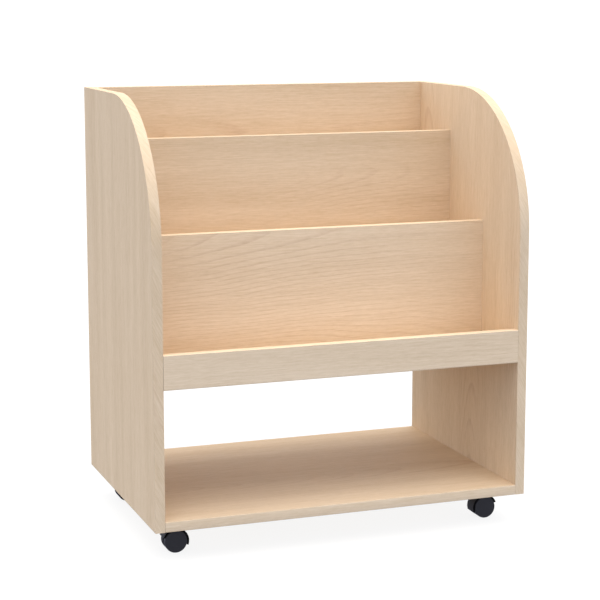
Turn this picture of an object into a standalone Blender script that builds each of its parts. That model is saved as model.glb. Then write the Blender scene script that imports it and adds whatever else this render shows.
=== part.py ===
"""Mobile bookcase: two round-cornered sides, an open lower compartment, three stepped pockets, four casters.

Metres, +Z up. X runs to the viewer's right, -Y is the front, and the floor is z = 0 under the case's middle.
"""
import math

import bmesh
import bpy
from mathutils import Matrix, Vector

# The case: every board is cut from one laminated sheet
BOARD = 0.018
CASE_WIDTH = 0.700
CASE_DEPTH = 0.470
SIDE_HEIGHT = 0.734
CORNER_RADIUS = 0.250
EDGE_ROUND = 0.001
JOINT_GAP = 0.0003

# Heights and depths of the compartment and the stepped pockets
COMPARTMENT_HEIGHT = 0.229
RAIL_HEIGHT = 0.060
MIDDLE_STEP = 0.182
UPPER_STEP = 0.158
POCKET_LIP = 0.060
FRONT_POCKET_DEPTH = 0.134
MIDDLE_POCKET_DEPTH = 0.130
BACK_INSET = 0.008

# Dowels between the two shelves and the sides
DOWEL_DIAMETER = 0.008
DOWEL_LENGTH = 0.030
DOWEL_COVER = 0.006
DOWEL_INSET = 0.110

# Twin-wheel casters
CASTER_INSET = 0.068
TRAIL = 0.016
WHEEL_DIAMETER = 0.040
WHEEL_WIDTH = 0.0105
WHEEL_CHAMFER = 0.0012
WHEEL_RIM = 0.0045
WHEEL_DISC = 0.0055
WHEEL_SIDE_GAP = 0.0005
HUB_DIAMETER = 0.013
AXLE_DIAMETER = 0.005
AXLE_COVER = 0.0028
HOOD_WEB = 0.006
HOOD_WALL = 0.003
HOOD_CLEARANCE = 0.001
HOOD_SETBACK = 0.001
HOOD_SHORT_END = math.radians(20)
HOOD_LONG_END = math.radians(200)
WELL_TRIM = 0.00025
NECK_DIAMETER = 0.016
NECK_FOOT_DIAMETER = 0.010
NECK_FOOT = 0.006
NECK_RISE = 0.0081
KINGPIN_DIAMETER = 0.006
KINGPIN_COVER = 0.0048
COLLAR_DIAMETER = 0.011
COLLAR_THICKNESS = 0.001
RUNNING_GAP = 0.0002

# Mounting plates and their screws
PLATE_SIZE = 0.038
PLATE_THICKNESS = 0.002
PLATE_CORNER = 0.004
SCREW_EDGE = 0.005
SCREW_DIAMETER = 0.0035
SCREW_LENGTH = 0.014
SCREW_TAPER = 0.005
SCREW_HEAD_DIAMETER = 0.007
SCREW_HEAD_HEIGHT = 0.0022
SCREW_HEAD_RIM = 0.0011
SCREW_HEAD_FLAT = 0.005

# Facets of the round pieces
CORNER_STEPS = 20
EDGE_STEPS = 2
WHEEL_STEPS = 24
HOOD_STEPS = 16
WELL_STEPS = 64
PIN_STEPS = 16
SCREW_STEPS = 10
DOWEL_STEPS = 12
PLATE_CORNER_STEPS = 4

# Angles at which an edge counts as sharp, and the distance within which points are welded
SHADING_ANGLE = math.radians(35)
ROUNDING_ANGLE = math.radians(40)
WELD_DISTANCE = 1e-6

# Finishes: colour, roughness and metallic value
MAPLE = ((0.72, 0.55, 0.39, 1.0), 0.45, 0.0)
BEECH = ((0.60, 0.40, 0.24, 1.0), 0.70, 0.0)
HOOD_PLASTIC = ((0.012, 0.012, 0.014, 1.0), 0.35, 0.0)
WHEEL_PLASTIC = ((0.027, 0.026, 0.031, 1.0), 0.50, 0.0)
ZINC_STEEL = ((0.62, 0.63, 0.64, 1.0), 0.30, 1.0)

# Caster levels, from the floor up
WHEEL_RADIUS = WHEEL_DIAMETER / 2
AXLE_HEIGHT = WHEEL_RADIUS
WELL_RADIUS = WHEEL_RADIUS + HOOD_CLEARANCE
HOOD_RADIUS = WELL_RADIUS + HOOD_WALL
WELL_TOP_AT_KINGPIN = AXLE_HEIGHT + math.sqrt(max(WELL_RADIUS ** 2 - TRAIL ** 2, 0.0))
KINGPIN_BORE_END = WELL_TOP_AT_KINGPIN + KINGPIN_COVER
KINGPIN_END = KINGPIN_BORE_END + JOINT_GAP
NECK_TOP = AXLE_HEIGHT + HOOD_RADIUS + NECK_RISE
COLLAR_UNDERSIDE = NECK_TOP + JOINT_GAP
COLLAR_TOP = COLLAR_UNDERSIDE + COLLAR_THICKNESS
PLATE_UNDERSIDE = COLLAR_TOP + JOINT_GAP
PLATE_TOP = PLATE_UNDERSIDE + PLATE_THICKNESS
SCREW_SEAT = PLATE_UNDERSIDE - JOINT_GAP

# Caster planes, counted from the middle of the hood's web
WHEEL_INNER_FACE = HOOD_WEB / 2 + WHEEL_SIDE_GAP
WHEEL_OUTER_FACE = WHEEL_INNER_FACE + WHEEL_WIDTH
AXLE_DEPTH_IN_WHEEL = WHEEL_WIDTH - AXLE_COVER - RUNNING_GAP

# Levels of the case, from the casters up
FLOOR_OF_CASE = PLATE_TOP + JOINT_GAP
TOP_OF_CASE = FLOOR_OF_CASE + SIDE_HEIGHT
BOTTOM_SHELF_TOP = FLOOR_OF_CASE + BOARD
MIDDLE_SHELF_UNDERSIDE = BOTTOM_SHELF_TOP + COMPARTMENT_HEIGHT
MIDDLE_SHELF_TOP = MIDDLE_SHELF_UNDERSIDE + BOARD
RAIL_TOP = MIDDLE_SHELF_UNDERSIDE + RAIL_HEIGHT
MIDDLE_FRONT_TOP = RAIL_TOP + MIDDLE_STEP
UPPER_FRONT_TOP = MIDDLE_FRONT_TOP + UPPER_STEP
MIDDLE_FLOOR_TOP = MIDDLE_FRONT_TOP - POCKET_LIP
UPPER_FLOOR_TOP = UPPER_FRONT_TOP - POCKET_LIP

# Upright planes of the case, from front to back
FRONT = -CASE_DEPTH / 2
REAR = CASE_DEPTH / 2
RAIL_BACK = FRONT + BOARD
MIDDLE_FRONT_FACE = RAIL_BACK + FRONT_POCKET_DEPTH
MIDDLE_FRONT_BACK = MIDDLE_FRONT_FACE + BOARD
UPPER_FRONT_FACE = MIDDLE_FRONT_BACK + MIDDLE_POCKET_DEPTH
UPPER_FRONT_BACK = UPPER_FRONT_FACE + BOARD
BACK_REAR = REAR - BACK_INSET
BACK_FACE = BACK_REAR - BOARD
INNER_HALF = CASE_WIDTH / 2 - BOARD
BETWEEN_HALF = INNER_HALF - JOINT_GAP


def clear_scene():
    for obj in list(bpy.data.objects):
        bpy.data.objects.remove(obj, do_unlink=True)


def new_collection(name):
    collection = bpy.data.collections.new(name)
    bpy.context.scene.collection.children.link(collection)
    return collection


def make_material(name, finish):
    colour, roughness, metallic = finish
    material = bpy.data.materials.new(name)
    material.use_nodes = True
    shader = material.node_tree.nodes["Principled BSDF"]
    shader.inputs["Base Color"].default_value = colour
    shader.inputs["Roughness"].default_value = roughness
    shader.inputs["Metallic"].default_value = metallic
    material.diffuse_color = colour
    return material


clear_scene()
PARTS = new_collection("mobile_bookcase")
CUTTERS = new_collection("cutters")
case_axis = bpy.data.objects.new("case_axis", None)
PARTS.objects.link(case_axis)


def add_part(name, mesh, finish, parent=case_axis):
    """A named piece with its own material, carried by an empty."""
    obj = bpy.data.objects.new(name, mesh)
    PARTS.objects.link(obj)
    obj.parent = parent
    if not mesh.materials:
        mesh.materials.append(None)
    obj.material_slots[0].link = "OBJECT"
    obj.material_slots[0].material = make_material(name, finish)
    return obj


def add_cutter(name, mesh):
    obj = bpy.data.objects.new(name, mesh)
    CUTTERS.objects.link(obj)
    obj.hide_render = True
    obj.display_type = "WIRE"
    return obj


def mesh_from(name, builder):
    """A mesh made by calling builder on an empty bmesh."""
    bm = bmesh.new()
    builder(bm)
    mesh = bpy.data.meshes.new(name)
    bm.to_mesh(mesh)
    bm.free()
    return mesh


def add_cylinder(bm, start, end, radius, steps):
    """A capped cylinder from one point to another."""
    start, end = Vector(start), Vector(end)
    along = end - start
    turn = along.to_track_quat("Z", "X").to_matrix().to_4x4()
    place = Matrix.Translation((start + end) / 2) @ turn
    bmesh.ops.create_cone(bm, cap_ends=True, segments=steps, radius1=radius, radius2=radius,
                          depth=along.length, matrix=place)


def baked(obj):
    """The evaluated mesh of a working object, welded. The working object is removed."""
    bpy.context.view_layer.update()
    graph = bpy.context.evaluated_depsgraph_get()
    mesh = bpy.data.meshes.new_from_object(obj.evaluated_get(graph))
    bpy.data.objects.remove(obj, do_unlink=True)
    bm = bmesh.new()
    bm.from_mesh(mesh)
    bmesh.ops.remove_doubles(bm, verts=bm.verts, dist=WELD_DISTANCE)
    bm.to_mesh(mesh)
    bm.free()
    return mesh


def smooth(mesh):
    mesh.shade_smooth()
    mesh.set_sharp_from_angle(angle=SHADING_ANGLE)
    return mesh


def arc(centre, radius, start, end, steps):
    """Points along an arc in the plane of an outline, both ends included."""
    points = []
    for step in range(steps + 1):
        angle = start + (end - start) * step / steps
        points.append((centre[0] + radius * math.cos(angle), centre[1] + radius * math.sin(angle)))
    return points


def circle(centre, radius, steps):
    return arc(centre, radius, 0, math.tau * (steps - 1) / steps, steps - 1)


def outline_mesh(name, outlines, thickness):
    """A flat plate from a filled 2D curve: the first outline is its edge, the others are holes."""
    curve = bpy.data.curves.new(name, "CURVE")
    curve.dimensions = "2D"
    curve.fill_mode = "BOTH"
    curve.extrude = thickness / 2
    for outline in outlines:
        spline = curve.splines.new("POLY")
        spline.points.add(len(outline) - 1)
        for point, (u, v) in zip(spline.points, outline):
            point.co = (u, v, 0.0, 1.0)
        spline.use_cyclic_u = True
    working = bpy.data.objects.new(name, curve)
    CUTTERS.objects.link(working)
    return baked(working)


def turned_mesh(name, profile, steps):
    """A turned piece about Z: the profile runs down its outer side, from top to bottom."""
    def wire(bm):
        ring = [bm.verts.new((radius, 0.0, height)) for radius, height in profile]
        for upper, lower in zip(ring, ring[1:]):
            bm.edges.new((upper, lower))
    working = bpy.data.objects.new(name, mesh_from(name, wire))
    CUTTERS.objects.link(working)
    screw = working.modifiers.new("turn", "SCREW")
    screw.steps = steps
    screw.render_steps = steps
    screw.use_merge_vertices = True
    screw.merge_threshold = WELD_DISTANCE
    return smooth(baked(working))


def cut(obj, cutter):
    boolean = obj.modifiers.new("cut_" + cutter.name, "BOOLEAN")
    boolean.operation = "DIFFERENCE"
    boolean.object = cutter


def round_edges(obj):
    """The slight rounding of a board's edge bands."""
    bevel = obj.modifiers.new("edge_round", "BEVEL")
    bevel.width = EDGE_ROUND
    bevel.segments = EDGE_STEPS
    bevel.limit_method = "ANGLE"
    bevel.angle_limit = ROUNDING_ANGLE


# Side panels: upright boards with one large round corner at the upper front
def side_outline():
    centre = (FRONT + CORNER_RADIUS, TOP_OF_CASE - CORNER_RADIUS)
    points = [(FRONT, FLOOR_OF_CASE), (REAR, FLOOR_OF_CASE), (REAR, TOP_OF_CASE)]
    return points + arc(centre, CORNER_RADIUS, math.pi / 2, math.pi, CORNER_STEPS)


# the outline's plane becomes YZ, and its thickness runs along X
OUTLINE_TO_SIDE = Matrix(((0, 0, 1, 0), (1, 0, 0, 0), (0, 1, 0, 0), (0, 0, 0, 1)))
SIDES = {"left": -1, "right": 1}
side_panels = {}
for side, sign in SIDES.items():
    panel_name = side + "_side_panel"
    panel_mesh = outline_mesh(panel_name, [side_outline()], BOARD)
    panel_mesh.transform(OUTLINE_TO_SIDE)
    panel = add_part(panel_name, panel_mesh, MAPLE)
    panel.location.x = sign * (INNER_HALF + BOARD / 2)
    round_edges(panel)
    side_panels[side] = panel


# Boards between the sides
def add_board(name, front, rear, underside, top):
    """A rectangular board that reaches from side to side, with its origin at its middle."""
    low = Vector((-BETWEEN_HALF, front, underside))
    high = Vector((BETWEEN_HALF, rear, top))
    size = Matrix.Diagonal(high - low).to_4x4()
    block = mesh_from(name, lambda bm: bmesh.ops.create_cube(bm, size=1.0, matrix=size))
    board = add_part(name, block, MAPLE)
    board.location = (low + high) / 2
    round_edges(board)
    return board


bottom_shelf = add_board("bottom_shelf", FRONT, REAR, FLOOR_OF_CASE, BOTTOM_SHELF_TOP)
middle_shelf = add_board("middle_shelf", RAIL_BACK + JOINT_GAP, BACK_FACE - JOINT_GAP,
                         MIDDLE_SHELF_UNDERSIDE, MIDDLE_SHELF_TOP)
add_board("front_rail", FRONT, RAIL_BACK, MIDDLE_SHELF_UNDERSIDE, RAIL_TOP)
add_board("middle_pocket_front", MIDDLE_FRONT_FACE, MIDDLE_FRONT_BACK,
          MIDDLE_SHELF_TOP + JOINT_GAP, MIDDLE_FRONT_TOP)
add_board("middle_pocket_floor", MIDDLE_FRONT_BACK + JOINT_GAP, UPPER_FRONT_FACE - JOINT_GAP,
          MIDDLE_FLOOR_TOP - BOARD, MIDDLE_FLOOR_TOP)
add_board("upper_pocket_front", UPPER_FRONT_FACE, UPPER_FRONT_BACK,
          MIDDLE_FLOOR_TOP - BOARD, UPPER_FRONT_TOP)
add_board("upper_pocket_floor", UPPER_FRONT_BACK + JOINT_GAP, BACK_FACE - JOINT_GAP,
          UPPER_FLOOR_TOP - BOARD, UPPER_FLOOR_TOP)
add_board("back_panel", BACK_FACE, BACK_REAR, MIDDLE_SHELF_UNDERSIDE, TOP_OF_CASE)


# Dowels: beech pins in the shelves' ends and in blind holes in the sides
def dowel_shape(bm, clearance):
    reach = DOWEL_LENGTH / 2 + clearance
    add_cylinder(bm, (-reach, 0, 0), (reach, 0, 0), DOWEL_DIAMETER / 2 + clearance, DOWEL_STEPS)


SHELVES = {
    "bottom_shelf": (bottom_shelf, FRONT, REAR, FLOOR_OF_CASE + BOARD / 2),
    "middle_shelf": (middle_shelf, RAIL_BACK, BACK_FACE, MIDDLE_SHELF_UNDERSIDE + BOARD / 2),
}
DOWEL_END = INNER_HALF + BOARD - DOWEL_COVER
dowel_mesh = smooth(mesh_from("dowel", lambda bm: dowel_shape(bm, 0)))
dowel_hole_mesh = mesh_from("dowel_hole", lambda bm: dowel_shape(bm, JOINT_GAP))
for shelf_name, (shelf, shelf_front, shelf_rear, height) in SHELVES.items():
    for side, sign in SIDES.items():
        for end, y in {"front": shelf_front + DOWEL_INSET, "rear": shelf_rear - DOWEL_INSET}.items():
            dowel = add_part(f"{shelf_name}_{side}_{end}_dowel", dowel_mesh, BEECH)
            dowel.location = (sign * (DOWEL_END - DOWEL_LENGTH / 2), y, height)
            hole = add_cutter(dowel.name + "_hole", dowel_hole_mesh)
            hole.location = dowel.location
            cut(shelf, hole)
            cut(side_panels[side], hole)


# Caster pieces, each made once about the swivel axis, with the wheels trailing along +X
def rounded_square(size, radius, steps):
    reach = size / 2 - radius
    points = []
    for quarter, (u, v) in enumerate(((1, 1), (-1, 1), (-1, -1), (1, -1))):
        start = quarter * math.pi / 2
        points += arc((u * reach, v * reach), radius, start, start + math.pi / 2, steps)
    return points


SCREW_REACH = PLATE_SIZE / 2 - SCREW_EDGE
SCREW_PLACES = [(u * SCREW_REACH, v * SCREW_REACH) for u in (-1, 1) for v in (-1, 1)]


def plate_mesh():
    """A square steel plate with a hole for the kingpin and four screw holes."""
    outlines = [rounded_square(PLATE_SIZE, PLATE_CORNER, PLATE_CORNER_STEPS)]
    outlines.append(circle((0, 0), KINGPIN_DIAMETER / 2 + RUNNING_GAP, PIN_STEPS))
    for place in SCREW_PLACES:
        outlines.append(circle(place, SCREW_DIAMETER / 2 + JOINT_GAP, SCREW_STEPS))
    mesh = outline_mesh("caster_plate", outlines, PLATE_THICKNESS)
    mesh.transform(Matrix.Translation((0, 0, (PLATE_UNDERSIDE + PLATE_TOP) / 2)))
    return mesh


def kingpin_mesh():
    """A riveted pin with a thrust collar between the plate and the hood's neck."""
    shank = KINGPIN_DIAMETER / 2
    collar = COLLAR_DIAMETER / 2
    profile = [(0, PLATE_TOP), (shank, PLATE_TOP), (shank, COLLAR_TOP), (collar, COLLAR_TOP),
               (collar, COLLAR_UNDERSIDE), (shank, COLLAR_UNDERSIDE), (shank, KINGPIN_END), (0, KINGPIN_END)]
    return turned_mesh("caster_kingpin", profile, PIN_STEPS)


def screw_mesh():
    """A pan-head wood screw, head down under the plate, its origin at the head's seat."""
    head = SCREW_HEAD_DIAMETER / 2
    shank = SCREW_DIAMETER / 2
    profile = [(0, SCREW_LENGTH), (shank, SCREW_LENGTH - SCREW_TAPER), (shank, 0),
               (head, 0), (head, -SCREW_HEAD_RIM), (SCREW_HEAD_FLAT / 2, -SCREW_HEAD_HEIGHT),
               (0, -SCREW_HEAD_HEIGHT)]
    return turned_mesh("caster_screw", profile, SCREW_STEPS)


def wheel_mesh():
    """A moulded wheel about Z: a plain outer disc at the top, a rim, a hub and a blind bore from below."""
    # flats that touch the true circle, with one of them facing the floor
    outer = WHEEL_RADIUS / math.cos(math.pi / WHEEL_STEPS)
    bore = AXLE_DIAMETER / 2 + RUNNING_GAP
    bore_end = WHEEL_WIDTH - AXLE_COVER
    rim = WHEEL_RADIUS - WHEEL_RIM
    hub = HUB_DIAMETER / 2
    disc = WHEEL_WIDTH - WHEEL_DISC
    profile = [(0, WHEEL_WIDTH), (outer - WHEEL_CHAMFER, WHEEL_WIDTH), (outer, WHEEL_WIDTH - WHEEL_CHAMFER),
               (outer, WHEEL_CHAMFER), (outer - WHEEL_CHAMFER, 0), (rim, 0), (rim, disc),
               (hub, disc), (hub, 0), (bore, 0), (bore, bore_end), (0, bore_end)]
    mesh = turned_mesh("caster_wheel", profile, WHEEL_STEPS)
    mesh.transform(Matrix.Rotation(math.pi / WHEEL_STEPS, 4, "Z"))
    return mesh


def upright_plate(name, outline, thickness):
    """A plate whose outline stands in XZ, its thickness along Y."""
    mesh = outline_mesh(name, [outline], thickness)
    mesh.transform(Matrix.Rotation(math.pi / 2, 4, "X"))
    return mesh


def hood_mesh():
    """A mudguard over both wheels with a web between them and a neck for the kingpin, as one moulding."""
    axle_centre = (TRAIL, AXLE_HEIGHT)
    crown = arc(axle_centre, HOOD_RADIUS, HOOD_SHORT_END, HOOD_LONG_END, HOOD_STEPS)
    crown += arc(axle_centre, WELL_RADIUS, HOOD_LONG_END, HOOD_SHORT_END, HOOD_STEPS)
    web = arc(axle_centre, (WELL_RADIUS + HOOD_RADIUS) / 2, HOOD_SHORT_END, HOOD_LONG_END, HOOD_STEPS)
    web += arc(axle_centre, HUB_DIAMETER / 2, HOOD_LONG_END, HOOD_SHORT_END + math.tau, HOOD_STEPS)
    crown_width = 2 * (WHEEL_OUTER_FACE - HOOD_SETBACK)

    # the neck stands in the crown's wall, where its foot is narrower
    foot_level = WELL_TOP_AT_KINGPIN + HOOD_WALL / 2
    neck = [(0, NECK_TOP), (NECK_DIAMETER / 2, NECK_TOP), (NECK_DIAMETER / 2, foot_level + NECK_FOOT),
            (NECK_FOOT_DIAMETER / 2, foot_level), (0, foot_level)]

    def wells(bm):
        for facing in (-1, 1):
            inner = (TRAIL, facing * HOOD_WEB / 2, AXLE_HEIGHT)
            outer = (TRAIL, facing * (WHEEL_OUTER_FACE + NECK_DIAMETER), AXLE_HEIGHT)
            add_cylinder(bm, inner, outer, WELL_RADIUS - WELL_TRIM, WELL_STEPS)

    def bores(bm):
        add_cylinder(bm, (0, 0, KINGPIN_BORE_END), (0, 0, COLLAR_TOP),
                     KINGPIN_DIAMETER / 2 + RUNNING_GAP, PIN_STEPS)
        add_cylinder(bm, (TRAIL, -HOOD_WEB, AXLE_HEIGHT), (TRAIL, HOOD_WEB, AXLE_HEIGHT),
                     AXLE_DIAMETER / 2 + RUNNING_GAP, PIN_STEPS)

    working = bpy.data.objects.new("caster_hood", upright_plate("crown", crown, crown_width))
    CUTTERS.objects.link(working)
    steps = (("UNION", upright_plate("web", web, HOOD_WEB)),
             ("UNION", turned_mesh("neck", neck, PIN_STEPS)),
             ("DIFFERENCE", mesh_from("wells", wells)),
             ("DIFFERENCE", mesh_from("bores", bores)))
    helpers = []
    for operation, shape in steps:
        helper = add_cutter("hood_" + shape.name, shape)
        boolean = working.modifiers.new(helper.name, "BOOLEAN")
        boolean.operation = operation
        boolean.object = helper
        helpers.append(helper)
    mesh = smooth(baked(working))
    for helper in helpers:
        bpy.data.objects.remove(helper, do_unlink=True)
    return mesh


def axle_mesh():
    half = WHEEL_INNER_FACE + AXLE_DEPTH_IN_WHEEL
    return smooth(mesh_from("caster_axle", lambda bm: add_cylinder(
        bm, (0, -half, 0), (0, half, 0), AXLE_DIAMETER / 2, PIN_STEPS)))


plate = plate_mesh()
kingpin = kingpin_mesh()
screw = screw_mesh()
wheel = wheel_mesh()
hood = hood_mesh()
axle = axle_mesh()

# Casters: the plate, pin and screws stay with the case, and the hood carries the axle and both wheels
CASTERS = {
    "front_left_caster": (-1, -1),
    "front_right_caster": (1, -1),
    "rear_left_caster": (-1, 1),
    "rear_right_caster": (1, 1),
}
SWIVEL_X = CASE_WIDTH / 2 - CASTER_INSET
SWIVEL_Y = CASE_DEPTH / 2 - CASTER_INSET
screw_seats = []
for caster, (side, end) in CASTERS.items():
    # an empty on the kingpin's axis, turned so that the wheels trail outwards
    swivel = bpy.data.objects.new(caster + "_swivel_axis", None)
    PARTS.objects.link(swivel)
    swivel.parent = case_axis
    swivel.location = (side * SWIVEL_X, end * SWIVEL_Y, 0)
    swivel.rotation_euler.z = 0 if side > 0 else math.pi

    for piece, mesh in (("plate", plate), ("kingpin", kingpin)):
        fixed = add_part(f"{caster}_{piece}", mesh, ZINC_STEEL)
        fixed.location = swivel.location
    for number, (u, v) in enumerate(SCREW_PLACES, start=1):
        fastener = add_part(f"{caster}_screw_{number}", screw, ZINC_STEEL)
        fastener.location = swivel.location + Vector((u, v, SCREW_SEAT))
        screw_seats.append(fastener.location.copy())

    add_part(caster + "_hood", hood, HOOD_PLASTIC, parent=swivel)
    pin = add_part(caster + "_axle", axle, ZINC_STEEL, parent=swivel)
    pin.location = (TRAIL, 0, AXLE_HEIGHT)
    for number, facing in ((1, -1), (2, 1)):
        roller = add_part(f"{caster}_wheel_{number}", wheel, WHEEL_PLASTIC, parent=swivel)
        # the wheel's outer disc faces away from the web
        roller.location = (TRAIL, facing * WHEEL_INNER_FACE, AXLE_HEIGHT)
        roller.rotation_euler.x = -facing * math.pi / 2


def shelf_screw_holes(bm):
    for seat in screw_seats:
        tip = seat + Vector((0, 0, SCREW_LENGTH + JOINT_GAP))
        add_cylinder(bm, seat, tip, SCREW_DIAMETER / 2 + JOINT_GAP, SCREW_STEPS)


cut(bottom_shelf, add_cutter("caster_screw_holes", mesh_from("caster_screw_holes", shelf_screw_holes)))
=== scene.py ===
"""The finished look of a mobile bookcase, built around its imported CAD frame, in metres."""
import math

import bmesh
import bpy
from mathutils import Matrix, Vector


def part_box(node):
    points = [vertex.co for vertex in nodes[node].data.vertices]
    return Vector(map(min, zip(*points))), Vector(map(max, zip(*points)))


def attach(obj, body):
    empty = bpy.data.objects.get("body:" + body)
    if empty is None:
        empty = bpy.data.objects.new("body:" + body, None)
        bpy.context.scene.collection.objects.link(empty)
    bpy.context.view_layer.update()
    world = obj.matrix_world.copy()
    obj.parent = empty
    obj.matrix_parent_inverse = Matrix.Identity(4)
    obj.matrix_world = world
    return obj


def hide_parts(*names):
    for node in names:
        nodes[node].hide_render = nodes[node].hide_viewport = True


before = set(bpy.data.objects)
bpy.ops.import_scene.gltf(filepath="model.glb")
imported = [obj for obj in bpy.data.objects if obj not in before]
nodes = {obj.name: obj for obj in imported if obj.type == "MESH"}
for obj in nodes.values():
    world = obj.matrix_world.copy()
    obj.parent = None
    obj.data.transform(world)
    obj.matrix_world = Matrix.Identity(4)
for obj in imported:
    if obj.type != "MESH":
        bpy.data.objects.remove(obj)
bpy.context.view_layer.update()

# Side panels: 18 mm chipboard faced with maple decor paper, cut on a router so that the upper front corner
# is one large round. Edge band in the same decor is glued round the whole edge, trimmed flush and rounded
# over a little, which leaves a hair-thin glue line beside each face.
CORNER_RADIUS = 0.250
CORNER_STEPS = 72
BAND_THICKNESS = 0.0012
GLUE_LINE = 0.00015
EDGE_ROUND = 0.001
EDGE_ROUND_STEPS = 4
BAND_SLANT = math.radians(25)
SHARP_BOARD_EDGE = math.radians(40)
DECOR, GLUE = 0.0, 1.0


class Wire:
    """A node socket to reckon with: sums and products of wires add Math nodes to their tree."""

    def __init__(self, socket):
        self.socket = socket
        self.tree = socket.id_data

    def node(self, kind, settings, values, out=0):
        """Adds any node: its settings first, then its sockets' values or links. Gives one output."""
        made = self.tree.nodes.new(kind)
        for key, value in settings.items():
            setattr(made, key, value)
        for key, value in values.items():
            if isinstance(value, list):
                for wire in value:
                    self.tree.links.new(wire.socket, made.inputs[key])
            elif isinstance(value, Wire):
                self.tree.links.new(value.socket, made.inputs[key])
            else:
                made.inputs[key].default_value = value
        return Wire(made.outputs[out])

    def also(self, out):
        """Another output of the same node."""
        return Wire(self.socket.node.outputs[out])

    def math(self, operation, *values):
        """A Math node on numbers and wires."""
        return self.node("ShaderNodeMath", {"operation": operation}, dict(enumerate(values)))

    def __add__(self, other):
        return self.math("ADD", self, other)

    def __radd__(self, other):
        return self.math("ADD", other, self)

    def __sub__(self, other):
        return self.math("SUBTRACT", self, other)

    def __rsub__(self, other):
        return self.math("SUBTRACT", other, self)

    def __mul__(self, other):
        return self.math("MULTIPLY", self, other)

    def __rmul__(self, other):
        return self.math("MULTIPLY", other, self)

    def __truediv__(self, other):
        return self.math("DIVIDE", self, other)

    def __rtruediv__(self, other):
        return self.math("DIVIDE", other, self)


def new_finish(name, start_kind):
    """A material, its Principled shader, and the node that its pattern starts from."""
    material = bpy.data.materials.new(name)
    material.use_nodes = True
    shader = material.node_tree.nodes["Principled BSDF"]
    return material, shader, material.node_tree.nodes.new(start_kind)


def set_finish(shader, values):
    """Sets a shader's sockets, each to a plain value or to a wire."""
    for key, value in values.items():
        if isinstance(value, Wire):
            shader.id_data.links.new(value.socket, shader.inputs[key])
        else:
            shader.inputs[key].default_value = value


def smooth_step(value, low, high):
    """A soft rise from 0 at low to 1 at high."""
    return value.node("ShaderNodeMapRange", {"interpolation_type": "SMOOTHSTEP"},
                      {"Value": value, "From Min": low, "From Max": high})


def blend_colour(factor, first, second):
    """The first colour where the factor is 0, the second where it is 1."""
    return factor.node("ShaderNodeMix", {"data_type": "RGBA"}, {0: factor, 6: first, 7: second}, 2)


MAPLE_LIGHT = (0.830, 0.633, 0.389, 1.0)
MAPLE_DARK = (0.572, 0.387, 0.195, 1.0)
GLUE_BROWN = (0.300, 0.215, 0.145, 1.0)
MAPLE_RED = (0.540, 0.335, 0.185, 1.0)
LEAF_WIDTH = 0.22
FLAME_LENGTH = 2.40
FLAME_DEPTH = 0.14
HEART_DISTANCE = 0.012
RINGS_PER_METRE = 160


def maple_decor():
    """Printed maple: flame figures in leaves side by side, streaks along the grain, short pores."""
    material, shader, start = new_finish("maple_decor", "ShaderNodeUVMap")
    place = Wire(start.outputs[0])
    along = place.node("ShaderNodeSeparateXYZ", {}, {0: place}, "X")
    across = along.also("Y")
    glue = place.node("ShaderNodeAttribute", {"attribute_name": "glue"}, {}, "Fac")
    tone = place.node("ShaderNodeAttribute", {"attribute_name": "tone"}, {}, "Fac")

    def streaks(per_metre_along, per_metre_across, detail):
        """Noise drawn out along the grain, from about -0.5 to 0.5."""
        point = place.node("ShaderNodeCombineXYZ", {}, {
            "X": along * per_metre_along, "Y": across * per_metre_across})
        return place.node("ShaderNodeTexNoise", {}, {
            "Vector": point, "Scale": 1.0, "Detail": detail, "Roughness": 0.55}) - 0.5

    # growth rings: each leaf of veneer is cut beside the heart of a slightly tilted log
    drift = streaks(1.3, 3.0, 2.0) * 0.12 + streaks(5.0, 9.0, 2.0) * 0.012
    leaf = (across + drift) / LEAF_WIDTH
    shift = place.node("ShaderNodeTexWhiteNoise", {"noise_dimensions": "1D"},
                       {"W": place.math("FLOOR", leaf)})
    from_heart = (place.math("FRACT", leaf) - 0.5) * LEAF_WIDTH
    swing = place.math("COSINE", (along / FLAME_LENGTH + shift) * math.tau)
    depth = (1 - swing) * FLAME_DEPTH / 4 + HEART_DISTANCE
    radius = place.math("SQRT", from_heart * from_heart + depth * depth)
    ring = place.math("FRACT", radius * RINGS_PER_METRE + streaks(7.0, 40.0, 2.0) * 0.30)
    late_wood = smooth_step(ring, 0.62, 0.94) * (1 - smooth_step(ring, 0.94, 1.0))
    clear = smooth_step(streaks(1.4, 6.0, 1.0), -0.04, 0.20)

    broad = streaks(1.5, 20.0, 3.0)
    streak = streaks(4.5, 120.0, 3.0)
    fibre = streaks(20.0, 520.0, 4.0)
    fleck = streaks(60.0, 340.0, 3.0)
    pores = smooth_step(streaks(130.0, 2600.0, 1.0), 0.10, 0.20)
    dark = tone + broad * 0.62 + streak * 0.28 + fibre * 0.78 + fleck * 0.46 + pores * 0.18
    wood = blend_colour(place.node("ShaderNodeClamp", {}, {0: dark}), MAPLE_LIGHT, MAPLE_DARK)
    wood = blend_colour(late_wood * clear * (0.34 + fleck * 0.6), wood, MAPLE_RED)
    set_finish(shader, {
        "Base Color": blend_colour(glue, wood, GLUE_BROWN),
        "Roughness": 0.68 + fibre * 0.20 + pores * 0.10,
        "Normal": place.node("ShaderNodeBump", {}, {
            "Strength": 0.25, "Distance": 0.0002, "Height": fibre * 0.5 - pores - glue * 2.0}),
        "Specular IOR Level": 0.05,
    })
    return material


maple = maple_decor()


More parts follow.
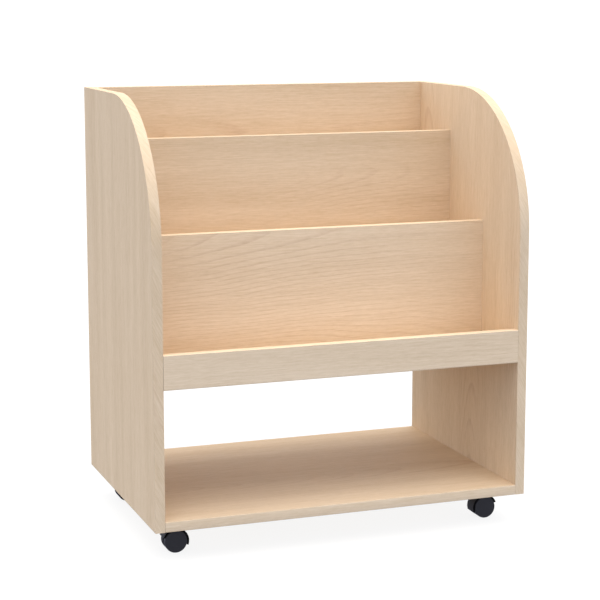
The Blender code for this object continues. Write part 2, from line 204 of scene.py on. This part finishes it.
def band_profile(thickness):
    """The banded edge from face to face: each point's inset, its height, and what shows after it."""
    half = thickness / 2
    upper = [(BAND_THICKNESS + GLUE_LINE, half, GLUE), (BAND_THICKNESS, half, DECOR)]
    for step in range(EDGE_ROUND_STEPS + 1):
        angle = math.pi / 2 * step / EDGE_ROUND_STEPS
        inset = EDGE_ROUND * (1 - math.sin(angle))
        drop = EDGE_ROUND * (1 - math.cos(angle))
        upper.append((inset, half - drop, DECOR))
    lower = [(inset, -height, DECOR) for inset, height, _ in upper[::-1]]
    lower[-2] = lower[-2][:2] + (GLUE,)
    return upper + lower


def running_lengths(points):
    """How far along a row of points each of them lies."""
    lengths = [0.0]
    for here, after in zip(points, points[1:]):
        lengths.append(lengths[-1] + (Vector(after) - Vector(here)).length)
    return lengths


def finished_board(name, bm, to_case, tone):
    """Sets a board of the decor sheet in its place in the case, and notes how deep its tone is."""
    mesh = bpy.data.meshes.new(name)
    bm.to_mesh(mesh)
    bm.free()
    mesh.transform(to_case)
    mesh.shade_smooth()
    mesh.set_sharp_from_angle(angle=SHARP_BOARD_EDGE)
    mesh.materials.append(maple)
    tones = mesh.attributes.new("tone", "FLOAT", "FACE")
    tones.data.foreach_set("value", [tone] * len(mesh.polygons))
    board = bpy.data.objects.new(name, mesh)
    bpy.context.scene.collection.objects.link(board)
    return board


def paint(face, layers, shows, places, sheet_place):
    """Notes what shows on a face, and where on an endless sheet of decor, in metres, it was cut."""
    grain, glue = layers
    face[glue] = shows
    for loop, place in zip(face.loops, places):
        loop[grain].uv = Vector(place) + Vector(sheet_place)


def inset_outline(outline, distance):
    """The outline moved inwards. It runs anticlockwise and has no inner corners."""
    moved = []
    for before, here, after in zip(outline[-1:] + outline, outline, outline[1:] + outline[:1]):
        arriving = (here - before).normalized()
        leaving = (after - here).normalized()
        inward = Vector((-arriving.y - leaving.y, arriving.x + leaving.x)).normalized()
        moved.append(here + inward * distance / inward.dot(Vector((-arriving.y, arriving.x))))
    return moved


def side_board(name, outline, thickness, to_case, sheet_place, tone):
    """A shaped panel, banded all round. Its grain runs along the outline's first axis, the band's askew."""
    bm = bmesh.new()
    layers = bm.loops.layers.uv.new("grain"), bm.faces.layers.float.new("glue")
    profile = band_profile(thickness)
    down = running_lengths([point[:2] for point in profile])
    round_edge = running_lengths(outline + outline[:1])
    askew = Matrix.Rotation(BAND_SLANT, 2)
    rings = []
    for inset, height, _ in profile:
        rings.append([bm.verts.new((*point, height)) for point in inset_outline(outline, inset)])
    for corners in (rings[0], rings[-1][::-1]):
        face = bm.faces.new(corners)
        paint(face, layers, DECOR, [vert.co.xy for vert in corners], sheet_place)
    for level, (upper, lower) in enumerate(zip(rings, rings[1:])):
        for corner in range(len(outline)):
            following = (corner + 1) % len(outline)
            face = bm.faces.new((upper[corner], lower[corner], lower[following], upper[following]))
            start, end = round_edge[corner], round_edge[corner + 1]
            steps = ((start, level), (start, level + 1), (end, level + 1), (end, level))
            places = [askew @ Vector((along, down[row])) for along, row in steps]
            paint(face, layers, profile[level][2], places, sheet_place)
    return finished_board(name, bm, to_case, tone)


def rounded_side(low, high):
    """A side's outline, height first: its upper front corner is the round one."""
    centre = Vector((high.z - CORNER_RADIUS, low.y + CORNER_RADIUS))
    points = [Vector((low.z, high.y)), Vector((low.z, low.y))]
    for step in range(CORNER_STEPS + 1):
        angle = math.pi / 2 * step / CORNER_STEPS
        points.append(centre + CORNER_RADIUS * Vector((math.sin(angle), -math.cos(angle))))
    points.append(Vector((high.z, high.y)))
    return points


# turns a lying board, its grain along X, so that the grain stands up
GRAIN_UPRIGHT = Matrix(((0, 0, -1, 0), (0, 1, 0, 0), (1, 0, 0, 0), (0, 0, 0, 1)))
# each board's place on the decor sheet, and how deep its tone is between light and dark maple
SIDE_CUTS = {
    "left_side_panel": ((0.80, 1.16), 0.44),
    "right_side_panel": ((1.38, 1.91), 0.40),
}
for node, (cut, tone) in SIDE_CUTS.items():
    low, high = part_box(node)
    to_case = Matrix.Translation(((low.x + high.x) / 2, 0, 0)) @ GRAIN_UPRIGHT
    side = side_board(node + "_board", rounded_side(low, high), high.x - low.x, to_case, cut, tone)
    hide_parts(node)
    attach(side, "case")

# Boards between the sides: the same faced chipboard, banded on both long edges and cut square at the
# ends, which butt against the sides. The grain runs across the case on all of them.
BUTT_GAP = 0.00005
GRAIN_ACROSS_UPRIGHT = Matrix(((1, 0, 0, 0), (0, 0, -1, 0), (0, 1, 0, 0), (0, 0, 0, 1)))
GRAIN_ACROSS_FLAT = Matrix.Identity(4)
# how each board lies in the case, its place on the decor sheet, and its tone
BOARD_CUTS = {
    "bottom_shelf": (GRAIN_ACROSS_FLAT, (0.95, 1.87), 0.35),
    "middle_shelf": (GRAIN_ACROSS_FLAT, (4.20, 9.10), 0.38),
    "front_rail": (GRAIN_ACROSS_UPRIGHT, (1.33, 1.43), 0.24),
    "middle_pocket_front": (GRAIN_ACROSS_UPRIGHT, (1.78, 2.68), 0.30),
    "middle_pocket_floor": (GRAIN_ACROSS_FLAT, (2.40, 3.30), 0.38),
    "upper_pocket_front": (GRAIN_ACROSS_UPRIGHT, (1.53, 1.96), 0.47),
    "upper_pocket_floor": (GRAIN_ACROSS_FLAT, (5.80, 0.60), 0.38),
    "back_panel": (GRAIN_ACROSS_UPRIGHT, (1.33, 2.10), 0.49),
}


def square_cut_board(name, length, width, thickness, to_case, sheet_place, tone):
    """A straight board: its section, with two banded edges, drawn out along the grain to glued ends."""
    bm = bmesh.new()
    layers = bm.loops.layers.uv.new("grain"), bm.faces.layers.float.new("glue")
    edge = band_profile(thickness)
    section = [(width / 2 - inset, height) for inset, height, _ in edge]
    section += [(inset - width / 2, -height) for inset, height, _ in edge]
    shown = [shows for _, _, shows in edge] * 2
    across = [-place + width / 2 for place in running_lengths(section + section[:1])]
    ends = [[bm.verts.new((end, *point)) for point in section] for end in (-length / 2, length / 2)]
    for corners in (ends[0], ends[1][::-1]):
        face = bm.faces.new(corners)
        paint(face, layers, GLUE, [vert.co.yz for vert in corners], sheet_place)
    for at, shows in enumerate(shown):
        following = (at + 1) % len(section)
        face = bm.faces.new((ends[0][at], ends[1][at], ends[1][following], ends[0][following]))
        steps = ((-1, at), (1, at), (1, at + 1), (-1, at + 1))
        places = [(end * length / 2, across[row]) for end, row in steps]
        paint(face, layers, shows, places, sheet_place)
    return finished_board(name, bm, to_case, tone)


left_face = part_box("left_side_panel")[1].x
right_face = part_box("right_side_panel")[0].x
board_length = right_face - left_face - 2 * BUTT_GAP
for node, (grain_to_case, cut, tone) in BOARD_CUTS.items():
    low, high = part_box(node)
    size = grain_to_case.inverted().to_3x3() @ (high - low)
    to_case = Matrix.Translation((low + high) / 2) @ grain_to_case
    board = square_cut_board(node + "_board", board_length, abs(size.y), abs(size.z), to_case, cut, tone)
    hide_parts(node)
    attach(board, "case")

# Dowels: beech pins cut from rod, glued half into the shelves' ends and half into the sides, where they
# stay out of sight. The wood is left raw.
BEECH_LIGHT = (0.640, 0.440, 0.270, 1.0)
BEECH_DARK = (0.470, 0.290, 0.160, 1.0)


def raw_beech():
    """Beech with short, fine flecks along the rod."""
    material, shader, start = new_finish("raw_beech", "ShaderNodeTexCoord")
    place = Wire(start.outputs["Object"])
    fine = place.node("ShaderNodeMapping", {}, {"Vector": place, "Scale": (60.0, 1400.0, 1400.0)})
    fleck = place.node("ShaderNodeTexNoise", {}, {"Vector": fine, "Scale": 1.0, "Detail": 2.0})
    set_finish(shader, {
        "Base Color": blend_colour(fleck, BEECH_LIGHT, BEECH_DARK),
        "Roughness": 0.60 + fleck * 0.20,
    })
    return material


def refinish(endings, material):
    """Gives a new finish to the CAD pieces whose names end so, and leaves their shapes alone."""
    for name, piece in nodes.items():
        if name.endswith(endings):
            piece.data.materials.clear()
            piece.data.materials.append(material)


refinish("_dowel", raw_beech())

# Caster plates, kingpins and axles: bright zinc-plated steel, stamped or turned. The plate is screwed
# under the bottom shelf, the pin is riveted into it, and the axle is pressed through the hood's web.
ZINC_LIGHT = (0.660, 0.670, 0.680, 1.0)
ZINC_DULL = (0.500, 0.505, 0.500, 1.0)


def zinc_plate():
    """Bright zinc, a little cloudy."""
    material, shader, start = new_finish("zinc_plate", "ShaderNodeTexCoord")
    place = Wire(start.outputs["Object"])
    cloud = place.node("ShaderNodeTexNoise", {}, {"Vector": place, "Scale": 180.0, "Detail": 4.0})
    set_finish(shader, {
        "Base Color": blend_colour(cloud, ZINC_LIGHT, ZINC_DULL),
        "Metallic": 1.0,
        "Roughness": 0.24 + cloud * 0.22,
    })
    return material


zinc = zinc_plate()
refinish(("_plate", "_kingpin", "_axle"), zinc)

# Caster screws: pan-head wood screws with a cross recess, rolled from wire and zinc plated. Four hold
# each plate under the bottom shelf, each stopped at its own angle.
SCREW_LENGTH = 0.014
SCREW_TAPER = 0.005
SCREW_RADIUS = 0.00175
HEAD_RADIUS = 0.0035
HEAD_HEIGHT = 0.0022
HEAD_FLAT_RADIUS = 0.0024
HEAD_RIM = 0.0010
HEAD_EDGE = 0.0005
RECESS_LENGTH = 0.0038
RECESS_WIDTH = 0.0009
RECESS_DEPTH = 0.0012
SCREW_STEPS = 28
SCREW_SEED = 7
FILLET_STEPS = 4
SEAM_REACH = 1e-5
SOFT_EDGE = math.radians(32)


def new_tree(name, inputs):
    """A node tree that takes a geometry and named sizes, with a wire from each of them."""
    tree = bpy.data.node_groups.new(name, "GeometryNodeTree")
    tree.interface.new_socket("Geometry", in_out="INPUT", socket_type="NodeSocketGeometry")
    for label, kind in inputs.items():
        tree.interface.new_socket(label, in_out="INPUT", socket_type="NodeSocket" + kind)
    tree.interface.new_socket("Geometry", in_out="OUTPUT", socket_type="NodeSocketGeometry")
    opening = tree.nodes.new("NodeGroupInput")
    return tree, {socket.name: Wire(socket) for socket in opening.outputs if socket.name}


def close_tree(tree, geometry, *coats):
    """Ends a tree in real faces and lays materials on them, each on the faces chosen for it."""
    made = geometry.node("GeometryNodeRealizeInstances", {}, {"Geometry": geometry})
    for material, chosen in coats:
        made = made.node("GeometryNodeSetMaterial", {}, {
            "Geometry": made, "Selection": chosen, "Material": material})
    ending = tree.nodes.new("NodeGroupOutput")
    tree.links.new(made.socket, ending.inputs["Geometry"])
    return tree


def softened(geometry):
    """Shades a surface smooth, apart from its sharper edges."""
    angle = geometry.node("GeometryNodeInputMeshEdgeAngle", {}, {})
    soft = geometry.math("LESS_THAN", angle, SOFT_EDGE)
    edges = geometry.node("GeometryNodeSetShadeSmooth", {"domain": "EDGE"}, {
        "Geometry": geometry, "Shade Smooth": soft})
    return geometry.node("GeometryNodeSetShadeSmooth", {"domain": "FACE"}, {"Geometry": edges})


def made_by(tree, name, points, edges, values):
    """A plain mesh object: what a tree makes of points, the edges between them and the named values."""
    mesh = bpy.data.meshes.new(name)
    mesh.from_pydata(points, edges, [])
    piece = bpy.data.objects.new(name, mesh)
    bpy.context.scene.collection.objects.link(piece)
    modifier = piece.modifiers.new(tree.name, "NODES")
    modifier.node_group = tree
    for item in tree.interface.items_tree:
        if item.in_out == "INPUT" and item.name in values:
            modifier[item.identifier] = values[item.name]
    graph = bpy.context.evaluated_depsgraph_get()
    result = bpy.data.meshes.new_from_object(piece.evaluated_get(graph), depsgraph=graph)
    piece.modifiers.clear()
    piece.data = result
    return piece


def half_section(*corners):
    """The points and edges of an open row of corners, radius first and height second."""
    points = [(radius, height, 0) for radius, height in corners]
    return points, [(at, at + 1) for at in range(len(corners) - 1)]


def turning_tree():
    """Turns a half section about Z: X of the section is the radius, and Y the height."""
    tree, given = new_tree("turned", {
        "Radius": "Float", "Fillet": "Float", "Steps": "Int", "Turn": "Vector", "Place": "Vector",
        "Material": "Material"})
    start = given["Geometry"]
    section = start.node("GeometryNodeMeshToCurve", {}, {"Mesh": start})
    section = start.node("GeometryNodeFilletCurve", {"mode": "POLY"}, {
        "Curve": section, "Count": FILLET_STEPS, "Radius": given["Fillet"], "Limit Radius": True})
    inwards = start.node("ShaderNodeCombineXYZ", {}, {"X": 0 - given["Radius"]})
    section = start.node("GeometryNodeTransform", {}, {"Geometry": section, "Translation": inwards})
    path = start.node("GeometryNodeCurvePrimitiveCircle", {"mode": "RADIUS"}, {
        "Resolution": given["Steps"], "Radius": given["Radius"]})
    path = start.node("GeometryNodeSetCurveNormal", {"mode": "Z_UP"}, {"Curve": path})
    turned = start.node("GeometryNodeCurveToMesh", {}, {"Curve": path, "Profile Curve": section})
    turned = start.node("GeometryNodeMergeByDistance", {}, {"Geometry": turned, "Distance": SEAM_REACH})
    # the sweep hangs the section upside down, with its faces inwards
    turned = start.node("GeometryNodeFlipFaces", {}, {"Mesh": turned})
    turned = start.node("GeometryNodeTransform", {}, {"Geometry": turned, "Rotation": (math.pi, 0, 0)})
    turned = start.node("GeometryNodeTransform", {}, {
        "Geometry": turned, "Rotation": given["Turn"], "Translation": given["Place"]})
    return close_tree(tree, softened(turned), (given["Material"], True))


def screw_tree(turning):
    """Turns a screw from its half section, sinks the cross recess, and sets one on every loose point."""
    tree, given = new_tree("screws", {
        "Radius": "Float", "Fillet": "Float", "Recess Length": "Float", "Recess Width": "Float",
        "Recess Depth": "Float", "Head Height": "Float", "Seed": "Int", "Material": "Material"})
    start = given["Geometry"]
    ends = start.node("GeometryNodeInputMeshVertexNeighbors", {}, {}, "Vertex Count")
    loose = start.math("LESS_THAN", ends, 0.5)
    seats = start.node("GeometryNodeSeparateGeometry", {"domain": "POINT"}, {
        "Geometry": start, "Selection": loose})
    screw = start.node("GeometryNodeGroup", {"node_tree": turning}, {
        "Geometry": seats.also("Inverted"), "Radius": given["Radius"], "Fillet": given["Fillet"],
        "Steps": SCREW_STEPS, "Material": given["Material"]})
    sink = start.node("ShaderNodeCombineXYZ", {}, {"Z": 0 - given["Head Height"]})
    slots = []
    for long_side, short_side in (("X", "Y"), ("Y", "X")):
        size = start.node("ShaderNodeCombineXYZ", {}, {
            long_side: given["Recess Length"], short_side: given["Recess Width"],
            "Z": given["Recess Depth"] * 2})
        slot = start.node("GeometryNodeMeshCube", {}, {"Size": size})
        slots.append(start.node("GeometryNodeTransform", {}, {"Geometry": slot, "Translation": sink}))
    screw = start.node("GeometryNodeMeshBoolean", {"operation": "DIFFERENCE", "solver": "EXACT"}, {
        "Mesh 1": screw, "Mesh 2": slots})
    angle = start.node("FunctionNodeRandomValue", {"data_type": "FLOAT"}, {
        2: 0.0, 3: math.pi, "Seed": given["Seed"]}, 1)
    turn = start.node("ShaderNodeCombineXYZ", {}, {"Z": angle})
    set_out = start.node("GeometryNodeInstanceOnPoints", {}, {
        "Points": seats, "Instance": softened(screw), "Rotation": turn})
    return close_tree(tree, set_out, (given["Material"], True))


turning = turning_tree()
screw_section, screw_edges = half_section(
    (0, SCREW_LENGTH), (SCREW_RADIUS, SCREW_LENGTH - SCREW_TAPER), (SCREW_RADIUS, 0), (HEAD_RADIUS, 0),
    (HEAD_RADIUS, -HEAD_RIM), (HEAD_FLAT_RADIUS, -HEAD_HEIGHT), (0, -HEAD_HEIGHT))
screw_nodes = [name for name in nodes if "_screw_" in name]
seats = []
for name in screw_nodes:
    low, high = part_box(name)
    seats.append(((low.x + high.x) / 2, (low.y + high.y) / 2, low.z + HEAD_HEIGHT))
screws = made_by(screw_tree(turning), "caster_screws", screw_section + seats, screw_edges, {
    "Radius": HEAD_RADIUS, "Fillet": HEAD_EDGE, "Recess Length": RECESS_LENGTH,
    "Recess Width": RECESS_WIDTH, "Recess Depth": RECESS_DEPTH, "Head Height": HEAD_HEIGHT,
    "Seed": SCREW_SEED, "Material": zinc})
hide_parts(*screw_nodes)
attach(screws, "case")

# Caster hoods: one moulding of black plastic over both wheels, with a web between them that holds the
# axle, and a neck that turns on the kingpin. The rims are painted near-black: painted shade for the
# shadowed gap between each hood and its wheel.
TRAIL = 0.016
AXLE_HEIGHT = 0.020
WELL_RADIUS = 0.021
HOOD_WALL = 0.003
HOOD_WIDTH = 0.026
HOOD_EDGE = 0.0006
HOOD_SHORT_END = math.radians(20)
WEB_THICKNESS = 0.006
WEB_HUB_RADIUS = 0.0065
WELL_TRIM = 0.00025
AXLE_BORE_RADIUS = 0.0027
KINGPIN_BORE_RADIUS = 0.0032
KINGPIN_BORE_DEPTH = 0.050
KINGPIN_CLEARANCE = 0.0002
NECK_RADIUS = 0.008
NECK_FOOT_RADIUS = 0.005
NECK_FOOT = 0.006
NECK_END = AXLE_HEIGHT + math.sqrt(WELL_RADIUS ** 2 - TRAIL ** 2) + HOOD_WALL / 2
WEB_SEAM_REACH = 1e-6
CROWN_POINTS = 73
HOOD_EDGE_STEPS = 3
NECK_STEPS = 48
BORE_STEPS = 64
HOOD_BLACK = (0.0420, 0.0370, 0.0315, 1.0)
# painted shade: near-black for the hood's rims, where the gap to the wheel lies in shadow
RIM_PAINTED_SHADE = (0.002, 0.002, 0.002, 1.0)
RUBBED_LIGHTER = 1.25


def moulded_plastic(name, colour, roughness, shine):
    """Dark polyamide with the fine grain of an eroded mould, lighter where it is rubbed."""
    material, shader, start = new_finish(name, "ShaderNodeTexCoord")
    place = Wire(start.outputs["Object"])
    grain = place.node("ShaderNodeTexNoise", {}, {"Vector": place, "Scale": 2600.0, "Detail": 2.0})
    wear = place.node("ShaderNodeTexNoise", {}, {"Vector": place, "Scale": 130.0, "Detail": 3.0})
    rubbed = tuple(RUBBED_LIGHTER * value for value in colour[:3]) + (1.0,)
    set_finish(shader, {
        "Base Color": blend_colour(wear, colour, rubbed),
        "Roughness": roughness + (wear - 0.5) * 0.15,
        "Normal": place.node("ShaderNodeBump", {}, {
            "Strength": 0.15, "Distance": 0.0001, "Height": grain}),
        "Specular IOR Level": shine,
    })
    return material


def hood_tree(turning):
    """Bends the crown over the wheels, adds the web and the turned neck, and cuts the wells and bores."""
    tree, given = new_tree("hood", {
        "Well": "Float", "Wall": "Float", "Width": "Float", "Edge": "Float", "Short End": "Float",
        "Web": "Float", "Hub": "Float", "Trim": "Float", "Axle Bore": "Float", "Axle": "Vector",
        "Neck": "Float", "Kingpin Bore": "Float", "Kingpin End": "Float", "Turn": "Vector",
        "Place": "Vector", "Material": "Material", "Matte": "Material"})
    start = given["Geometry"]
    middle = given["Well"] + given["Wall"] * 0.5

    def bend(closed):
        """The crown's middle line, or the web's outline where it is closed."""
        return start.node("GeometryNodeCurveArc", {"mode": "RADIUS"}, {
            "Resolution": CROWN_POINTS, "Radius": middle, "Start Angle": given["Short End"],
            "Sweep Angle": math.pi, "Connect Center": closed})

    def rod(radius, depth, offset=0.0):
        """A round bar along Z, set off from the middle."""
        made = start.node("GeometryNodeMeshCylinder", {}, {
            "Vertices": BORE_STEPS, "Radius": radius, "Depth": depth})
        lift = start.node("ShaderNodeCombineXYZ", {}, {"Z": offset})
        return start.node("GeometryNodeTransform", {}, {"Geometry": made, "Translation": lift})

    def joined(shapes):
        """One solid from several that overlap."""
        return start.node("GeometryNodeMeshBoolean", {"operation": "UNION", "solver": "EXACT"}, {
            "Mesh 2": shapes})

    def stand_up(lying):
        """Turns what lies flat upright, with its middle on the axle."""
        return start.node("GeometryNodeTransform", {}, {
            "Geometry": lying, "Rotation": (math.pi / 2, 0, 0), "Translation": given["Axle"]})

    rim = start.node("GeometryNodeCurvePrimitiveQuadrilateral", {"mode": "RECTANGLE"}, {
        "Width": given["Wall"], "Height": given["Width"]})
    rim = start.node("GeometryNodeFilletCurve", {"mode": "POLY"}, {
        "Curve": rim, "Count": HOOD_EDGE_STEPS, "Radius": given["Edge"]})
    path = start.node("GeometryNodeSetCurveNormal", {"mode": "Z_UP"}, {"Curve": bend(False)})
    crown = start.node("GeometryNodeCurveToMesh", {}, {
        "Curve": path, "Profile Curve": rim, "Fill Caps": True})

    sheet = start.node("GeometryNodeFillCurve", {"mode": "NGONS"}, {"Curve": bend(True)})
    raised = start.node("GeometryNodeExtrudeMesh", {"mode": "FACES"}, {
        "Mesh": sheet, "Offset Scale": given["Web"], "Individual": False})
    underside = start.node("GeometryNodeFlipFaces", {}, {"Mesh": sheet})
    web = start.node("GeometryNodeJoinGeometry", {}, {"Geometry": [raised, underside]})
    web = start.node("GeometryNodeMergeByDistance", {}, {"Geometry": web, "Distance": WEB_SEAM_REACH})
    drop = start.node("ShaderNodeCombineXYZ", {}, {"Z": given["Web"] * -0.5})
    web = start.node("GeometryNodeTransform", {}, {"Geometry": web, "Translation": drop})

    neck = start.node("GeometryNodeGroup", {"node_tree": turning}, {
        "Geometry": start, "Radius": given["Neck"], "Fillet": given["Edge"], "Steps": NECK_STEPS,
        "Material": given["Material"]})
    well_offset = given["Width"] * 0.5 + given["Web"] * 0.5
    well_radius = given["Well"] - given["Trim"]
    wells = [rod(well_radius, given["Width"], well_offset * side) for side in (-1.0, 1.0)]
    axle_bore = rod(given["Axle Bore"], given["Web"] * 3)
    bore_middle = given["Kingpin End"] + KINGPIN_BORE_DEPTH / 2
    kingpin_bore = rod(given["Kingpin Bore"], KINGPIN_BORE_DEPTH, bore_middle)
    solid = joined([stand_up(joined([crown, web, rod(given["Hub"], given["Web"])])), neck])
    cutters = [stand_up(cutter) for cutter in wells + [axle_bore]] + [kingpin_bore]
    hood = start.node("GeometryNodeMeshBoolean", {"operation": "DIFFERENCE", "solver": "EXACT"}, {
        "Mesh 1": solid, "Mesh 2": cutters})
    hood = softened(hood)
    # the rims, which get the painted shade, are the faces farthest from the web, before the hood is turned
    position = start.node("GeometryNodeInputPosition", {}, {})
    beside = start.math("ABSOLUTE", start.node("ShaderNodeSeparateXYZ", {}, {0: position}, "Y"))
    rims = start.math("GREATER_THAN", beside, given["Width"] * 0.5 - given["Edge"] * 0.1)
    kept = start.node("GeometryNodeStoreNamedAttribute", {"data_type": "FLOAT", "domain": "FACE"}, {
        "Geometry": hood, "Name": "rim", "Value": rims})
    placed = start.node("GeometryNodeTransform", {}, {
        "Geometry": kept, "Rotation": given["Turn"], "Translation": given["Place"]})
    rim_faces = start.node("GeometryNodeInputNamedAttribute", {"data_type": "FLOAT"}, {"Name": "rim"})
    # the rim faces get the near-black painted shade
    return close_tree(tree, placed, (given["Material"], True), (given["Matte"], rim_faces))


black_plastic = moulded_plastic("black_polyamide", HOOD_BLACK, roughness=0.50, shine=0.08)
# painted shade: a near-black copy of the plastic for the rims, standing in for the shadowed gap
rim_painted_shade = moulded_plastic("rim_painted_shade_polyamide", RIM_PAINTED_SHADE, roughness=0.85, shine=0.05)
bending = hood_tree(turning)
for hood_node in [name for name in nodes if name.endswith("_hood")]:
    caster = hood_node.removesuffix("_hood")
    swivel_low, swivel_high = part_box(caster + "_kingpin")
    axle_low, axle_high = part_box(caster + "_axle")
    swivel = (swivel_low + swivel_high) / 2
    axle = (axle_low + axle_high) / 2
    turn = 0 if axle.x > swivel.x else math.pi
    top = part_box(hood_node)[1].z
    neck_section, neck_edges = half_section(
        (0, top), (NECK_RADIUS, top), (NECK_RADIUS, NECK_END + NECK_FOOT), (NECK_FOOT_RADIUS, NECK_END),
        (0, NECK_END))
    hood = made_by(bending, caster + "_hood_moulding", neck_section, neck_edges, {
        "Well": WELL_RADIUS, "Wall": HOOD_WALL, "Width": HOOD_WIDTH, "Edge": HOOD_EDGE,
        "Short End": HOOD_SHORT_END, "Web": WEB_THICKNESS, "Hub": WEB_HUB_RADIUS, "Trim": WELL_TRIM,
        "Axle Bore": AXLE_BORE_RADIUS, "Axle": (TRAIL, 0, AXLE_HEIGHT), "Neck": NECK_RADIUS,
        "Kingpin Bore": KINGPIN_BORE_RADIUS, "Kingpin End": swivel_low.z - KINGPIN_CLEARANCE,
        "Turn": (0, 0, turn), "Place": (swivel.x, swivel.y, 0),
        "Material": black_plastic, "Matte": rim_painted_shade})
    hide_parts(hood_node)
    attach(hood, caster)

# Caster wheels: moulded in dark grey plastic, with a plain outer disc, a tread flush with it and a hub on
# the inner side. Each turns on its own half of the axle.
RIM_THICKNESS = 0.0045
DISC_THICKNESS = 0.0055
WHEEL_HUB_RADIUS = 0.0065
WHEEL_BORE_RADIUS = 0.0027
AXLE_COVER = 0.0028
WHEEL_EDGE = 0.0010
WHEEL_STEPS = 72
WHEEL_GREY = (0.0228, 0.0188, 0.0152, 1.0)

grey_plastic = moulded_plastic("grey_polyamide", WHEEL_GREY, roughness=0.55, shine=0.35)
for wheel_node in [name for name in nodes if "_wheel_" in name]:
    caster, number = wheel_node.split("_wheel_")
    low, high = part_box(wheel_node)
    web_low, web_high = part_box(caster + "_hood")
    radius = (high.z - low.z) / 2
    width = high.y - low.y
    outwards = 1 if low.y + high.y > web_low.y + web_high.y else -1
    section, edges = half_section(
        (0, width), (radius, width), (radius, 0), (radius - RIM_THICKNESS, 0),
        (radius - RIM_THICKNESS, width - DISC_THICKNESS), (WHEEL_HUB_RADIUS, width - DISC_THICKNESS),
        (WHEEL_HUB_RADIUS, 0), (WHEEL_BORE_RADIUS, 0), (WHEEL_BORE_RADIUS, width - AXLE_COVER),
        (0, width - AXLE_COVER))
    inner_face = low.y if outwards > 0 else high.y
    wheel = made_by(turning, wheel_node + "_moulding", section, edges, {
        "Radius": radius, "Fillet": WHEEL_EDGE, "Steps": WHEEL_STEPS,
        "Turn": (-outwards * math.pi / 2, 0, 0),
        "Place": ((low.x + high.x) / 2, inner_face, (low.z + high.z) / 2), "Material": grey_plastic})
    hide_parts(wheel_node)
    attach(wheel, caster.removesuffix("_caster") + "_wheel_" + number)

# The room: a white studio dome with one broad, soft light in the ceiling. The white floor glows a little,
# so that the shadows on it stay faint, and throws no light up at the case.
FLOOR_REACH = 60.0
FLOOR_WHITE = (0.150, 0.140, 0.115, 1.0)
FLOOR_GLOW = 0.87
DOME_WHITE = (1.19, 1.42, 2.02, 1.0)
BEHIND_WHITE = (1.73, 1.83, 2.19, 1.0)
ZENITH_WHITE = (0.48, 0.58, 0.87, 1.0)
BELOW_GREY = (0.35, 0.375, 0.495, 1.0)
CEILING_LIGHT = 3.44
CEILING_WHITE = (1.0, 0.954, 0.965)
CEILING_SPREAD = math.radians(76)
CEILING_TILT = math.radians(4.5)
CEILING_PLACE = (0, -1, 3)

floor_mesh = bpy.data.meshes.new("floor")
floor_corners = [(u * FLOOR_REACH, v * FLOOR_REACH, 0) for u, v in ((-1, -1), (1, -1), (1, 1), (-1, 1))]
floor_mesh.from_pydata(floor_corners, [], [(0, 1, 2, 3)])
floor = bpy.data.objects.new("floor", floor_mesh)
bpy.context.scene.collection.objects.link(floor)
floor_paint, floor_shader, _ = new_finish("floor_paint", "ShaderNodeTexCoord")
set_finish(floor_shader, {
    "Base Color": FLOOR_WHITE, "Roughness": 0.9, "Specular IOR Level": 0.0,
    "Emission Color": (1.0, 1.0, 1.0, 1.0), "Emission Strength": FLOOR_GLOW})
floor_mesh.materials.append(floor_paint)
floor.visible_diffuse = False
floor.visible_glossy = False

world = bpy.data.worlds.new("surround")
bpy.context.scene.world = world
world.use_nodes = True
background = world.node_tree.nodes["Background"]
direction = Wire(world.node_tree.nodes.new("ShaderNodeTexCoord").outputs["Generated"])
rise = direction.node("ShaderNodeSeparateXYZ", {}, {0: direction}, "Z")
horizon = blend_colour(smooth_step(rise.also("Y"), 0.0, 0.8), DOME_WHITE, BEHIND_WHITE)
dome = blend_colour(smooth_step(rise, 0.10, 0.95), horizon, ZENITH_WHITE)
surround = blend_colour(smooth_step(rise, -0.05, 0.0), BELOW_GREY, dome)
world.node_tree.links.new(surround.socket, background.inputs["Color"])

ceiling = bpy.data.lights.new("ceiling", "SUN")
ceiling.energy = CEILING_LIGHT
ceiling.color = CEILING_WHITE
ceiling.angle = CEILING_SPREAD
ceiling_lamp = bpy.data.objects.new("ceiling", ceiling)
bpy.context.scene.collection.objects.link(ceiling_lamp)
ceiling_lamp.location = CEILING_PLACE
ceiling_lamp.rotation_euler = (CEILING_TILT, 0, 0)

# The camera stands in front of the case, to its left and a little above it, and looks slightly down. A
# small shift of the lens keeps the case in the middle of the frame.
CAMERA_PLACE = (-1.0887, -2.9673, 0.9576)
CAMERA_YAW = math.radians(20.112)
CAMERA_PITCH = math.radians(9.014)
SENSOR_WIDTH = 36.0
FOCAL_LENGTH = 103.3
LENS_SHIFT = -0.05

lens = bpy.data.cameras.new("camera")
lens.sensor_width = SENSOR_WIDTH
lens.lens = FOCAL_LENGTH
lens.shift_y = LENS_SHIFT
camera = bpy.data.objects.new("camera", lens)
camera.location = CAMERA_PLACE
camera.rotation_euler = (math.pi / 2 - CAMERA_PITCH, 0, -CAMERA_YAW)
bpy.context.scene.collection.objects.link(camera)
bpy.context.scene.camera = camera
bpy.context.scene.view_settings.view_transform = "Standard"
